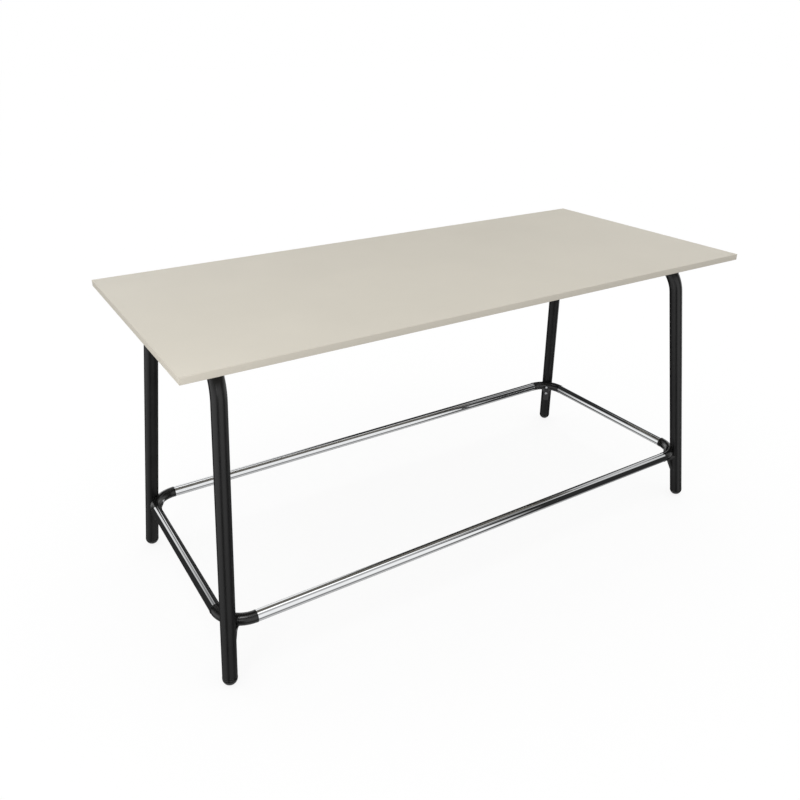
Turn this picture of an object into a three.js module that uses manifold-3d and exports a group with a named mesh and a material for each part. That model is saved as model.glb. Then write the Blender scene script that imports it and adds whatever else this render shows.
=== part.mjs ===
// Standing meeting table: a thin rectangular top on two splayed tubular end frames, which a chromed
// footrest ring ties together close to the floor.
// Millimetres, +Z up, +X along the table's length. The origin is on the floor under the middle of the top.

import * as THREE from "three";
import { mergeVertices } from "three/addons/utils/BufferGeometryUtils.js";
import Module from "manifold-3d";

// Top
const TABLE_LENGTH = 1800;
const TABLE_DEPTH = 800;
const TABLE_HEIGHT = 905;
const TOP_THICKNESS = 18;
const BAND_THICKNESS = 2;
const BAND_ROUNDING = 1.2;

// End frames: bent tube, splayed by the same angle along the length and across the depth
const LEG_DIAMETER = 40.4;
const LEG_WALL = 2;
const SPLAY_ANGLE = THREE.MathUtils.degToRad(6.04);
const FOOT_X = 865.4; // leg axis where it would meet the floor
const FOOT_Y = 362.5;
const FRAME_BEND_RADIUS = 105;

// Domed glides
const GLIDE_DIAMETER = 41;
const GLIDE_FLAT_DEPTH = 1; // worn off the dome where it stands on the floor
const GLIDE_COLLAR = 3; // from the dome's widest section to the leg's end
const GLIDE_CHAMFER = 0.6;
const PLUG_RIBS = 3;
const PLUG_RIB_PITCH = 9;
const PLUG_RIB_HEIGHT = 1.2;

// Footrest ring
const RING_HEIGHT = 175.8;
const RING_TUBE_DIAMETER = 32;
const RING_TUBE_WALL = 1.5;
const RING_OFFSET = 6; // the ring's corner stands this far outside the leg axis, along X and along Y

// Moulded elbows
const ELBOW_DIAMETER = 33;
const ELBOW_BEND_RADIUS = 80;
const ELBOW_REACH = 81.6; // from the ring's corner to the elbow's end
const ELBOW_LIP_DIAMETER = 34;
const ELBOW_LIP_LENGTH = 3;
const SPIGOT_LENGTH = 30;
const SPIGOT_CHAMFER = 2;
const TONGUE_TIP = 74; // drops below the ring, along the leg
const TONGUE_ROOT = 24;
const TONGUE_TOP = 8;
const TONGUE_TIP_THICKNESS = 0.8;
const TONGUE_TAPER = 0.275; // thickness gained for each millimetre of rise, so its face runs into the bend's
const TONGUE_WIDTH = 35;
const TONGUE_TIP_ROUNDING = 13;
const TONGUE_SIDE_FILLET = 5;

// Elbow screws
const ELBOW_SCREW = { shank: 6, head: 11, headHeight: 3.4 };
const UPPER_SCREW_DROP = -4.6; // below the ring, along the leg
const LOWER_SCREW_DROP = 30.7;
const SCREW_BITE = 8; // past the leg's inner wall
const SEAT_DIAMETER = 12.4;
const UPPER_SEAT_DEPTH = 2;
const LOWER_SEAT_DEPTH = 2.4;

// Fixing plates and the screws into the top
const PLATE = { length: 120, width: 50, thickness: 4, cornerRadius: 8 };
const PLATE_Y = 120;
const PLATE_SCREW_SPACING = 88;
const WELD_LENGTH = 46;
const WELD_WIDTH = 28;
const WELD_HEIGHT = 6;
const WOOD_SCREW = { shank: 5, head: 9.5, headHeight: 3 };
const WOOD_SCREW_BITE = 12;

// Stiffening rails: angle steel, one leg flat against the top
const RAIL = { length: 1430, flange: 25, web: 40, thickness: 3, rootRadius: 3 };
const RAIL_Y = 232; // outer face of the upright leg
const RAIL_SCREWS = 4;
const RAIL_SCREW_SPACING = 440;

// Clearances and facets
const GAP = 0.3;
const MERGE_TOLERANCE = 1e-4;
const TUBE_SIDES = 18;
const FRAME_BEND_STEPS = 7;
const ELBOW_SIDES = 16;
const ELBOW_BEND_STEPS = 7;
const TONGUE_STEPS = 5;
const SADDLE_SIDES = 18;
const TURNED_SIDES = 14;
const HOLE_SIDES = 8;
const SCREW_SIDES = 8;
const DOME_STEPS = 5;
const OVERRUN = 1; // how far a drill or a weld runs past a face
const BEYOND = 100; // how far a large cutter runs past what it cuts

// Derived places
const topUnderside = TABLE_HEIGHT - TOP_THICKNESS;
const legRadius = LEG_DIAMETER / 2;
const splay = Math.tan(SPLAY_ANGLE);
const legUp = new THREE.Vector3(-splay, -splay, 1).normalize();
const tubeTop = topUnderside - PLATE.thickness;
const crossHeight = tubeTop - legRadius;
const crossX = FOOT_X - splay * crossHeight;
const ringHalfLength = FOOT_X - splay * RING_HEIGHT + RING_OFFSET;
const ringHalfDepth = FOOT_Y - splay * RING_HEIGHT + RING_OFFSET;
const domeRadius = GLIDE_DIAMETER / 2;
const domeHeight = domeRadius - GLIDE_FLAT_DEPTH;
const legToBend = (ELBOW_BEND_RADIUS * (1 - Math.SQRT1_2) - RING_OFFSET) * Math.SQRT2;
const elbowFace = legToBend + ELBOW_DIAMETER / 2; // from the leg axis to the bend's inner side
const saddleRadius = (legRadius + GAP) / Math.cos(Math.PI / SADDLE_SIDES); // its flats clear the leg

const wasm = await Module();
wasm.setup();

// Materials
const finish = (color, roughness, metalness) => new THREE.MeshStandardMaterial({ color, roughness, metalness });
const laminate = finish(0xcfcabd, 0.55, 0);
const edging = finish(0xc3bdb0, 0.6, 0);
const blackCoat = finish(0x161616, 0.45, 0);
const blackPolymer = finish(0x1b1b1b, 0.4, 0);
const chrome = finish(0xd9dadb, 0.08, 1);
const zinc = finish(0xb7babd, 0.3, 1);

// A path through chosen stations, so that a swept tube has rings only where it bends.
class StationPath extends THREE.Curve {
  constructor(stations) {
    super();
    this.stations = stations;
  }

  station(u) {
    return this.stations[Math.round(u * (this.stations.length - 1))];
  }

  getPointAt(u, target = new THREE.Vector3()) {
    return target.copy(this.station(u).point);
  }

  getTangentAt(u, target = new THREE.Vector3()) {
    return target.copy(this.station(u).tangent);
  }
}

// Stations round a bend between two straight runs that meet at a sharp corner.
function bendStations(corner, directionIn, directionOut, radius, steps) {
  const turn = directionIn.angleTo(directionOut);
  const tangentLength = radius * Math.tan(turn / 2);
  const start = corner.clone().addScaledVector(directionIn, -tangentLength);
  const inward = directionOut.clone().addScaledVector(directionIn, -directionIn.dot(directionOut)).normalize();
  return Array.from({ length: steps + 1 }, (_, i) => {
    const angle = (turn * i) / steps;
    const point = start
      .clone()
      .addScaledVector(directionIn, radius * Math.sin(angle))
      .addScaledVector(inward, radius * (1 - Math.cos(angle)));
    const tangent = directionIn
      .clone()
      .multiplyScalar(Math.cos(angle))
      .addScaledVector(inward, Math.sin(angle));
    return { point, tangent };
  });
}

function circlePoints(radius, sides) {
  return Array.from({ length: sides }, (_, i) => {
    const angle = (2 * Math.PI * i) / sides;
    return new THREE.Vector2(radius * Math.cos(angle), radius * Math.sin(angle));
  });
}

function sweep(stations, sides, radius, boreRadius = 0) {
  const section = new THREE.Shape(circlePoints(radius, sides));
  if (boreRadius > 0) section.holes.push(new THREE.Path(circlePoints(boreRadius, sides)));
  const options = { steps: stations.length - 1, extrudePath: new StationPath(stations) };
  return closedBody(new THREE.ExtrudeGeometry(section, options));
}

// A turned body about Z from [radius, height] pairs.
function turned(profile, sides) {
  const points = profile.map(([radius, height]) => new THREE.Vector2(radius, height));
  return closedBody(new THREE.LatheGeometry(points, sides).rotateX(Math.PI / 2));
}

// A cylinder along Z between two heights.
function rod(radius, low, high, sides) {
  return turned([[0, low], [radius, low], [radius, high], [0, high]], sides);
}

function block(x0, x1, y0, y1, z0, z1) {
  const box = new THREE.BoxGeometry(x1 - x0, y1 - y0, z1 - z0);
  return closedBody(box.translate((x0 + x1) / 2, (y0 + y1) / 2, (z0 + z1) / 2));
}

function signedVolume(geometry) {
  const position = geometry.attributes.position;
  const index = geometry.index.array;
  const [a, b, c] = [new THREE.Vector3(), new THREE.Vector3(), new THREE.Vector3()];
  let volume = 0;
  for (let i = 0; i < index.length; i += 3) {
    a.fromBufferAttribute(position, index[i]);
    b.fromBufferAttribute(position, index[i + 1]);
    c.fromBufferAttribute(position, index[i + 2]);
    volume += a.dot(b.cross(c)) / 6;
  }
  return volume;
}

// Shared vertices, no collapsed triangles, faces pointing out.
function closedBody(geometry) {
  geometry.deleteAttribute("normal");
  geometry.deleteAttribute("uv");
  const merged = mergeVertices(geometry, MERGE_TOLERANCE);
  const old = merged.index.array;
  const index = [];
  for (let i = 0; i < old.length; i += 3) {
    const [a, b, c] = [old[i], old[i + 1], old[i + 2]];
    if (a !== b && b !== c && c !== a) index.push(a, b, c);
  }
  merged.setIndex(index);
  if (signedVolume(merged) < 0) merged.setIndex(index.reverse());
  return merged;
}

function solid(geometry) {
  const vertProperties = new Float32Array(geometry.attributes.position.array);
  const triVerts = new Uint32Array(geometry.index.array);
  return new wasm.Manifold(new wasm.Mesh({ numProp: 3, vertProperties, triVerts }));
}

function geometryOf(body) {
  const { vertProperties, triVerts } = body.getMesh();
  const geometry = new THREE.BufferGeometry();
  geometry.setAttribute("position", new THREE.BufferAttribute(new Float32Array(vertProperties), 3));
  geometry.setIndex(new THREE.BufferAttribute(new Uint32Array(triVerts), 1));
  return geometry;
}

const join = (first, ...others) => others.reduce((body, other) => body.add(solid(other)), first);
const cut = (first, ...others) => others.reduce((body, other) => body.subtract(solid(other)), first);

function addMesh(parent, name, geometry, material) {
  geometry.computeVertexNormals();
  const mesh = new THREE.Mesh(geometry, material);
  mesh.name = name;
  parent.add(mesh);
  return mesh;
}

function addGroup(parent, position = [0, 0, 0]) {
  const group = new THREE.Group();
  group.position.set(...position);
  parent.add(group);
  return group;
}

// A pan-head screw along Z: the head stands below zero, the shank rises above it.
function screw({ shank, head, headHeight }, length) {
  const crown = head / 3;
  const skirt = headHeight / 3;
  const tip = shank / 3;
  const profile = [
    [0, -headHeight],
    [crown, -headHeight],
    [head / 2, -skirt],
    [head / 2, 0],
    [shank / 2, 0],
    [shank / 2, length - tip],
    [0, length],
  ];
  return turned(profile, SCREW_SIDES);
}

const table = new THREE.Group();
const sides = { left: -1, right: 1 };
const faces = { front: -1, back: 1 };

// Each corner has the same parts, turned by a quarter. In a corner's own frame the ring's centrelines meet
// at the origin and run off along -X and -Y. Its leg frame has +Z up the leg and +X towards the table's middle.
const corners = {
  back_right: [1, 1, 0],
  back_left: [-1, 1, 1],
  front_left: [-1, -1, 2],
  front_right: [1, -1, 3],
};
for (const [name, [sideX, sideY, quarter]] of Object.entries(corners)) {
  const group = addGroup(table, [sideX * ringHalfLength, sideY * ringHalfDepth, RING_HEIGHT]);
  group.rotation.z = (quarter * Math.PI) / 2;
  const leg = addGroup(group, [-RING_OFFSET, -RING_OFFSET, 0]);
  const lean = new THREE.Quaternion().setFromUnitVectors(new THREE.Vector3(0, 0, 1), legUp);
  const face = new THREE.Quaternion().setFromAxisAngle(new THREE.Vector3(0, 0, 1), Math.PI * 1.25);
  leg.quaternion.multiplyQuaternions(lean, face);
  corners[name] = { sideX, group, leg };
}
table.updateMatrixWorld(true);
const legInCorner = corners.back_right.leg.matrix;

// How thick the elbow's tongue is at a drop below the ring.
function tongueThickness(drop) {
  return TONGUE_TIP_THICKNESS + TONGUE_TAPER * (TONGUE_TIP - drop);
}

// Where the two elbow screws sit, in a leg frame: their drop, and their seats' distance from the leg axis.
const elbowScrews = {
  upper: { drop: UPPER_SCREW_DROP, seat: elbowFace - UPPER_SEAT_DEPTH },
  lower: { drop: LOWER_SCREW_DROP, seat: legRadius + tongueThickness(LOWER_SCREW_DROP) - LOWER_SEAT_DEPTH },
};

// A body along Z turned to lie along the screw's line, from its seat towards the leg.
function alongScrew(geometry, { drop, seat }) {
  return geometry.rotateY(-Math.PI / 2).translate(seat, 0, -drop);
}

// Top panel, with pilot holes for every screw driven up into it
const plateScrewPlaces = [];
for (const sideX of Object.values(sides)) {
  for (const sideY of Object.values(faces)) {
    for (const along of [-0.5, 0.5]) {
      plateScrewPlaces.push([sideX * crossX + along * PLATE_SCREW_SPACING, sideY * PLATE_Y]);
    }
  }
}
const railScrewY = RAIL_Y - RAIL.flange / 2 - RAIL.thickness / 2;
const railScrewPlaces = [];
for (const sideY of Object.values(faces)) {
  for (let i = 0; i < RAIL_SCREWS; i += 1) {
    railScrewPlaces.push([(i - (RAIL_SCREWS - 1) / 2) * RAIL_SCREW_SPACING, sideY * railScrewY]);
  }
}
function topPanel() {
  const halfX = TABLE_LENGTH / 2 - BAND_THICKNESS;
  const halfY = TABLE_DEPTH / 2 - BAND_THICKNESS;
  const panel = solid(block(-halfX, halfX, -halfY, halfY, topUnderside, TABLE_HEIGHT));
  const radius = WOOD_SCREW.shank / 2 + GAP;
  const pilotEnd = topUnderside + WOOD_SCREW_BITE + GAP;
  const pilots = [...plateScrewPlaces, ...railScrewPlaces].map(([x, y]) => {
    return rod(radius, topUnderside - OVERRUN, pilotEnd, HOLE_SIDES).translate(x, y, 0);
  });
  return geometryOf(cut(panel, ...pilots));
}
addMesh(table, "top_panel", topPanel(), laminate);

// Edge bands: the long ones cover the ends of the short ones
function edgeBand(length) {
  const half = TOP_THICKNESS / 2;
  const inner = BAND_THICKNESS - BAND_ROUNDING;
  const profile = new THREE.Shape();
  profile.moveTo(0, -half);
  profile.lineTo(inner, -half);
  profile.absarc(inner, -half + BAND_ROUNDING, BAND_ROUNDING, -Math.PI / 2, 0);
  profile.lineTo(BAND_THICKNESS, half - BAND_ROUNDING);
  profile.absarc(inner, half - BAND_ROUNDING, BAND_ROUNDING, 0, Math.PI / 2);
  profile.lineTo(0, half);
  const strip = new THREE.ExtrudeGeometry(profile, { depth: length, bevelEnabled: false, curveSegments: 2 });
  return closedBody(strip.translate(0, 0, -length / 2).rotateX(Math.PI / 2));
}
const bandHeight = TABLE_HEIGHT - TOP_THICKNESS / 2;
const bands = {
  edge_band_right: [TABLE_DEPTH - 2 * BAND_THICKNESS, TABLE_LENGTH / 2, 0],
  edge_band_back: [TABLE_LENGTH, TABLE_DEPTH / 2, 1],
  edge_band_left: [TABLE_DEPTH - 2 * BAND_THICKNESS, TABLE_LENGTH / 2, 2],
  edge_band_front: [TABLE_LENGTH, TABLE_DEPTH / 2, 3],
};
for (const [name, [length, reach, quarter]] of Object.entries(bands)) {
  const group = addGroup(table, [0, 0, bandHeight]);
  group.rotation.z = (quarter * Math.PI) / 2;
  addMesh(group, name, edgeBand(length), edging).position.x = reach - BAND_THICKNESS;
}

// End frames: drawn flat in their own plane, then leaned outward. Each leg has two holes for its elbow screws.
function frameStations() {
  const cosLean = Math.cos(SPLAY_ANGLE);
  const onLeg = (side, z) => new THREE.Vector3(0, side * (FOOT_Y - splay * z), z / cosLean);
  const endDistance = GLIDE_COLLAR + GAP;
  const up = onLeg(1, crossHeight).sub(onLeg(1, 0)).normalize();
  const start = onLeg(1, domeHeight).addScaledVector(up, endDistance);
  const across = new THREE.Vector3(0, -1, 0);
  const down = new THREE.Vector3(0, up.y, -up.z);
  return [
    { point: start, tangent: up },
    ...bendStations(onLeg(1, crossHeight), up, across, FRAME_BEND_RADIUS, FRAME_BEND_STEPS),
    ...bendStations(onLeg(-1, crossHeight), across, down, FRAME_BEND_RADIUS, FRAME_BEND_STEPS),
    { point: new THREE.Vector3(0, -start.y, start.z), tangent: down },
  ];
}
for (const [side, sideX] of Object.entries(sides)) {
  const turn = addGroup(table);
  turn.rotation.z = sideX > 0 ? 0 : Math.PI;
  const frame = addGroup(turn, [FOOT_X, 0, 0]);
  frame.rotation.y = -SPLAY_ANGLE;
  table.updateMatrixWorld(true);
  const intoFrame = frame.matrixWorld.clone().invert();
  const holes = [];
  for (const { leg } of Object.values(corners).filter((corner) => corner.sideX === sideX)) {
    for (const { drop } of Object.values(elbowScrews)) {
      const hole = rod(ELBOW_SCREW.shank / 2 + GAP, 0, legRadius, HOLE_SIDES);
      alongScrew(hole, { drop, seat: legRadius + LEG_WALL });
      holes.push(hole.applyMatrix4(leg.matrixWorld).applyMatrix4(intoFrame));
    }
  }
  const tube = solid(sweep(frameStations(), TUBE_SIDES, legRadius, legRadius - LEG_WALL));
  addMesh(frame, `end_frame_${side}`, geometryOf(cut(tube, ...holes)), blackCoat);
}

// Fixing plates, each with the welds that seat it on the frame's cross tube
function fixingPlate() {
  const { length, width, thickness, cornerRadius } = PLATE;
  const [x, y, r] = [length / 2, width / 2, cornerRadius];
  const outline = new THREE.Shape();
  outline.absarc(x - r, y - r, r, 0, Math.PI / 2);
  outline.absarc(r - x, y - r, r, Math.PI / 2, Math.PI);
  outline.absarc(r - x, r - y, r, Math.PI, Math.PI * 1.5);
  outline.absarc(x - r, r - y, r, Math.PI * 1.5, Math.PI * 2);
  for (const along of [-0.5, 0.5]) {
    const hole = circlePoints(WOOD_SCREW.shank / 2 + GAP, HOLE_SIDES);
    const place = new THREE.Vector2(along * PLATE_SCREW_SPACING, 0);
    outline.holes.push(new THREE.Path(hole.map((point) => point.add(place))));
  }
  const sheet = new THREE.ExtrudeGeometry(outline, { depth: thickness, bevelEnabled: false, curveSegments: 3 });
  const weld = block(-WELD_WIDTH / 2, WELD_WIDTH / 2, -WELD_LENGTH / 2, WELD_LENGTH / 2, -WELD_HEIGHT, OVERRUN);
  const tube = rod(saddleRadius, -width, width, SADDLE_SIDES).rotateX(Math.PI / 2);
  return geometryOf(cut(join(solid(closedBody(sheet)), weld), tube.translate(0, 0, -legRadius)));
}
for (const [side, sideX] of Object.entries(sides)) {
  for (const [face, sideY] of Object.entries(faces)) {
    const group = addGroup(table, [sideX * crossX, sideY * PLATE_Y, tubeTop]);
    addMesh(group, `top_plate_${face}_${side}`, fixingPlate(), blackCoat);
  }
}
const screwEnds = ["outer", "inner"];
const plateScrewLength = PLATE.thickness + WOOD_SCREW_BITE;
for (const [place, [x, y]] of plateScrewPlaces.entries()) {
  const side = x > 0 ? "right" : "left";
  const face = y > 0 ? "back" : "front";
  const end = screwEnds[x > 0 ? 1 - (place % 2) : place % 2];
  const mesh = addMesh(table, `plate_screw_${face}_${side}_${end}`, screw(WOOD_SCREW, plateScrewLength), zinc);
  mesh.position.set(x, y, tubeTop);
}

// Stiffening rails
function rail() {
  const { length, flange, web, thickness, rootRadius } = RAIL;
  const profile = new THREE.Shape();
  profile.moveTo(0, 0);
  profile.lineTo(0, -web);
  profile.lineTo(-thickness, -web);
  profile.lineTo(-thickness, -thickness - rootRadius);
  profile.absarc(-thickness - rootRadius, -thickness - rootRadius, rootRadius, 0, Math.PI / 2);
  profile.lineTo(-flange, -thickness);
  profile.lineTo(-flange, 0);
  const bar = new THREE.ExtrudeGeometry(profile, { depth: length, bevelEnabled: false, curveSegments: 3 });
  bar.translate(0, 0, -length / 2).rotateX(Math.PI / 2).rotateZ(Math.PI / 2);
  const holes = Array.from({ length: RAIL_SCREWS }, (_, i) => {
    const x = (i - (RAIL_SCREWS - 1) / 2) * RAIL_SCREW_SPACING;
    const radius = WOOD_SCREW.shank / 2 + GAP;
    return rod(radius, -thickness - OVERRUN, OVERRUN, HOLE_SIDES).translate(x, railScrewY - RAIL_Y, 0);
  });
  return geometryOf(cut(solid(closedBody(bar)), ...holes));
}
for (const [face, sideY] of Object.entries(faces)) {
  const group = addGroup(table, [0, sideY * RAIL_Y, topUnderside]);
  group.rotation.z = sideY > 0 ? 0 : Math.PI;
  addMesh(group, `stiffener_rail_${face}`, rail(), blackCoat);
}
const railScrewLength = RAIL.thickness + WOOD_SCREW_BITE;
for (const [place, [x, y]] of railScrewPlaces.entries()) {
  const face = y > 0 ? "back" : "front";
  const name = `rail_screw_${face}_${(place % RAIL_SCREWS) + 1}`;
  const mesh = addMesh(table, name, screw(WOOD_SCREW, railScrewLength), zinc);
  mesh.position.set(x, y, topUnderside - RAIL.thickness);
}

// Footrest tubes, slid over the elbows' spigots up to their ends
function footrestTube(halfSpan) {
  const along = new THREE.Vector3(1, 0, 0);
  const stations = [-1, 1].map((end) => ({ point: new THREE.Vector3(end * halfSpan, 0, 0), tangent: along }));
  return sweep(stations, TUBE_SIDES, RING_TUBE_DIAMETER / 2, RING_TUBE_DIAMETER / 2 - RING_TUBE_WALL);
}
const tubeHalfSpans = [ringHalfLength - ELBOW_REACH - GAP, ringHalfDepth - ELBOW_REACH - GAP];
for (const [face, sideY] of Object.entries(faces)) {
  const mesh = addMesh(table, `footrest_tube_${face}`, footrestTube(tubeHalfSpans[0]), chrome);
  mesh.position.set(0, sideY * ringHalfDepth, RING_HEIGHT);
}
for (const [side, sideX] of Object.entries(sides)) {
  const mesh = addMesh(table, `footrest_tube_${side}`, footrestTube(tubeHalfSpans[1]), chrome);
  mesh.position.set(sideX * ringHalfLength, 0, RING_HEIGHT);
  mesh.rotation.z = Math.PI / 2;
}

// The elbow's tongue, in a leg frame: the leg's own round section, slid towards the table's middle as it
// rises, and widened where it runs into the bend.
function tongue() {
  const height = TONGUE_TIP - TONGUE_TOP;
  const body = new THREE.CylinderGeometry(1, 1, height, ELBOW_SIDES, TONGUE_STEPS).rotateX(Math.PI / 2);
  const position = body.attributes.position;
  for (let i = 0; i < position.count; i += 1) {
    const z = position.getZ(i) - height / 2 - TONGUE_TOP;
    const flare = Math.max(0, 1 - (-z - TONGUE_TOP) / (TONGUE_ROOT - TONGUE_TOP)) ** 2;
    const halfWidth = legRadius + TONGUE_SIDE_FILLET * flare;
    position.setXYZ(i, legRadius * position.getX(i) + tongueThickness(-z), halfWidth * position.getY(i), z);
  }
  return closedBody(body);
}

// The tongue seen along the screws: straight sides and a rounded tip.
function tongueOutline() {
  const half = TONGUE_WIDTH / 2;
  const wide = half + 2 * TONGUE_SIDE_FILLET;
  const r = TONGUE_TIP_ROUNDING;
  const outline = new THREE.Shape();
  outline.moveTo(-wide, 0);
  outline.lineTo(-wide, -TONGUE_TOP);
  outline.lineTo(-half, -TONGUE_ROOT);
  outline.absarc(-half + r, -TONGUE_TIP + r, r, Math.PI, Math.PI * 1.5);
  outline.absarc(half - r, -TONGUE_TIP + r, r, Math.PI * 1.5, Math.PI * 2);
  outline.lineTo(half, -TONGUE_ROOT);
  outline.lineTo(wide, -TONGUE_TOP);
  outline.lineTo(wide, 0);
  const prism = new THREE.ExtrudeGeometry(outline, { depth: BEYOND, bevelEnabled: false, curveSegments: 3 });
  return closedBody(prism.rotateX(Math.PI / 2).rotateZ(Math.PI / 2));
}

// One arm's end, along -X from the ring's corner: a raised lip and the spigot that the tube slides over
function elbowEnd() {
  const lip = ELBOW_LIP_DIAMETER / 2;
  const spigot = RING_TUBE_DIAMETER / 2 - RING_TUBE_WALL - GAP;
  const lipStart = ELBOW_REACH - ELBOW_LIP_LENGTH;
  const spigotEnd = ELBOW_REACH + SPIGOT_LENGTH;
  const profile = [
    [0, lipStart],
    [lip, lipStart],
    [lip, ELBOW_REACH],
    [spigot, ELBOW_REACH],
    [spigot, spigotEnd - SPIGOT_CHAMFER],
    [spigot - SPIGOT_CHAMFER, spigotEnd],
    [0, spigotEnd],
  ];
  return turned(profile, ELBOW_SIDES).rotateY(-Math.PI / 2);
}

function elbow() {
  const along = new THREE.Vector3(0, 1, 0);
  const back = new THREE.Vector3(-1, 0, 0);
  const end = ELBOW_REACH - ELBOW_LIP_LENGTH / 2;
  const stations = [
    { point: new THREE.Vector3(0, -end, 0), tangent: along },
    ...bendStations(new THREE.Vector3(), along, back, ELBOW_BEND_RADIUS, ELBOW_BEND_STEPS),
    { point: new THREE.Vector3(-end, 0, 0), tangent: back },
  ];
  const saddle = solid(tongue()).intersect(solid(tongueOutline()));
  const tab = geometryOf(saddle).applyMatrix4(legInCorner);
  const arms = [elbowEnd(), elbowEnd().rotateZ(Math.PI / 2)];
  const body = join(solid(sweep(stations, ELBOW_SIDES, ELBOW_DIAMETER / 2)), ...arms, tab);
  const leg = rod(saddleRadius, -BEYOND, BEYOND, SADDLE_SIDES);
  const holes = Object.values(elbowScrews).flatMap((place) => [
    alongScrew(rod(ELBOW_SCREW.shank / 2 + GAP, -OVERRUN, elbowFace, HOLE_SIDES), place),
    alongScrew(rod(SEAT_DIAMETER / 2, -ELBOW_DIAMETER, 0, TURNED_SIDES), place),
  ]);
  return geometryOf(cut(body, ...[leg, ...holes].map((cutter) => cutter.applyMatrix4(legInCorner))));
}

// The glide in a corner's frame: a dome with a collar, and a ribbed plug that is pushed into the leg
function glide() {
  const rib = legRadius - LEG_WALL - 2 * GAP;
  const core = rib - PLUG_RIB_HEIGHT;
  const profile = [];
  for (let i = 0; i <= DOME_STEPS; i += 1) {
    const angle = (Math.PI / 2) * (i / DOME_STEPS);
    profile.push([domeRadius * Math.sin(angle), -domeRadius * Math.cos(angle)]);
  }
  profile.push([domeRadius, GLIDE_COLLAR - GLIDE_CHAMFER], [domeRadius - GLIDE_CHAMFER, GLIDE_COLLAR]);
  for (let i = 0; i < PLUG_RIBS; i += 1) {
    const base = GLIDE_COLLAR + i * PLUG_RIB_PITCH;
    profile.push([core, base], [rib, base + PLUG_RIB_PITCH / 4]);
  }
  const plugEnd = GLIDE_COLLAR + PLUG_RIBS * PLUG_RIB_PITCH;
  profile.push([core, plugEnd], [0, plugEnd]);
  const fromRing = (domeHeight - RING_HEIGHT) / legUp.z;
  const turnedGlide = turned(profile, TURNED_SIDES).translate(0, 0, fromRing).applyMatrix4(legInCorner);
  const floor = block(-BEYOND, BEYOND, -BEYOND, BEYOND, -RING_HEIGHT - BEYOND, -RING_HEIGHT);
  return geometryOf(cut(solid(turnedGlide), floor));
}

for (const [corner, { group, leg }] of Object.entries(corners)) {
  addMesh(group, `corner_elbow_${corner}`, elbow(), blackPolymer);
  addMesh(group, `glide_${corner}`, glide(), blackPolymer);
  for (const [level, place] of Object.entries(elbowScrews)) {
    const length = place.seat - legRadius + LEG_WALL + SCREW_BITE;
    const mesh = addMesh(leg, `elbow_screw_${level}_${corner}`, screw(ELBOW_SCREW, length), zinc);
    mesh.rotation.y = -Math.PI / 2;
    mesh.position.set(place.seat + GAP, 0, -place.drop);
  }
}

export default table;
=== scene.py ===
import math

import bmesh
import bpy
from mathutils import Matrix, Vector


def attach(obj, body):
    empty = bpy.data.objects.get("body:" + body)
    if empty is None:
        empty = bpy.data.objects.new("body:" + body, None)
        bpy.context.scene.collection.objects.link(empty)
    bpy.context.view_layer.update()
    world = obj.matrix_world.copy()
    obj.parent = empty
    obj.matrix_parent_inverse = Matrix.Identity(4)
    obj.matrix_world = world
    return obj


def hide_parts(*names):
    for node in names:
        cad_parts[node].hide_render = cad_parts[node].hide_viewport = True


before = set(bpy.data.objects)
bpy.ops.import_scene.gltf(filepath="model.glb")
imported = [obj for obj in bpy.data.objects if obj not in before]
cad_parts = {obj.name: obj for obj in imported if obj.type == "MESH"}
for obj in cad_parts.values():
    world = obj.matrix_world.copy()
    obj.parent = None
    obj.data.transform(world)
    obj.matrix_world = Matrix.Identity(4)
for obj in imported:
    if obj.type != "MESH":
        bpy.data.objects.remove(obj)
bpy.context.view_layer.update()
scene = bpy.context.scene

sides = {"left": -1, "right": 1}
faces = {"front": -1, "back": 1}
corners = {  # sign in X, sign in Y, quarter turns from the back right
    "back_right": (1, 1, 0),
    "back_left": (-1, 1, 1),
    "front_left": (-1, -1, 2),
    "front_right": (1, -1, 3),
}

stance = {  # where the tubes stand, metres
    "splay": math.tan(math.radians(6.04)),
    "footX": 0.8654,  # leg axis at floor level
    "footY": 0.3625,
    "ringHeight": 0.1758,
    "ringOffset": 0.006,  # ring corner outside the leg axis
    "underside": 0.887,
    "tubeTop": 0.883,
    "legRadius": 0.0202,
}
splay = stance["splay"]
legRadius = stance["legRadius"]
legUp = Vector((-splay, -splay, 1)).normalized()  # leg direction at the back right corner
crossHeight = stance["tubeTop"] - legRadius
crossX = stance["footX"] - splay * crossHeight
ringX = stance["footX"] - splay * stance["ringHeight"] + stance["ringOffset"]
ringY = stance["footY"] - splay * stance["ringHeight"] + stance["ringOffset"]
up = Vector((0, 0, 1))


# mesh helpers

def meshFrom(name, bm):
    bmesh.ops.recalc_face_normals(bm, faces=bm.faces)
    mesh = bpy.data.meshes.new(name)
    bm.to_mesh(mesh)
    bm.free()
    return mesh


def ringOf(bm, centre, across, along, radius, count):
    turn = 2 * math.pi / count
    return [bm.verts.new(centre + (across * math.cos(i * turn) + along * math.sin(i * turn)) * radius)
            for i in range(count)]


def ringsAlong(bm, stations, planeNormal, count):  # a station is a point, a direction and a radius
    return [ringOf(bm, p, planeNormal, d.cross(planeNormal).normalized(), r, count)
            for p, d, r in stations]


def skinStrip(bm, a, b):
    for i in range(len(a) - 1):
        bm.faces.new((a[i], a[i + 1], b[i + 1], b[i]))


def skinRings(bm, rings, loop=False):
    for a, b in zip(rings, rings[1:] + (rings[:1] if loop else [])):
        skinStrip(bm, a + a[:1], b + b[:1])


def closedMesh(name, bm, rings):  # skinned, with the first and the last ring filled
    skinRings(bm, rings)
    bm.faces.new(rings[0])
    bm.faces.new(rings[-1])
    return meshFrom(name, bm)


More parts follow.
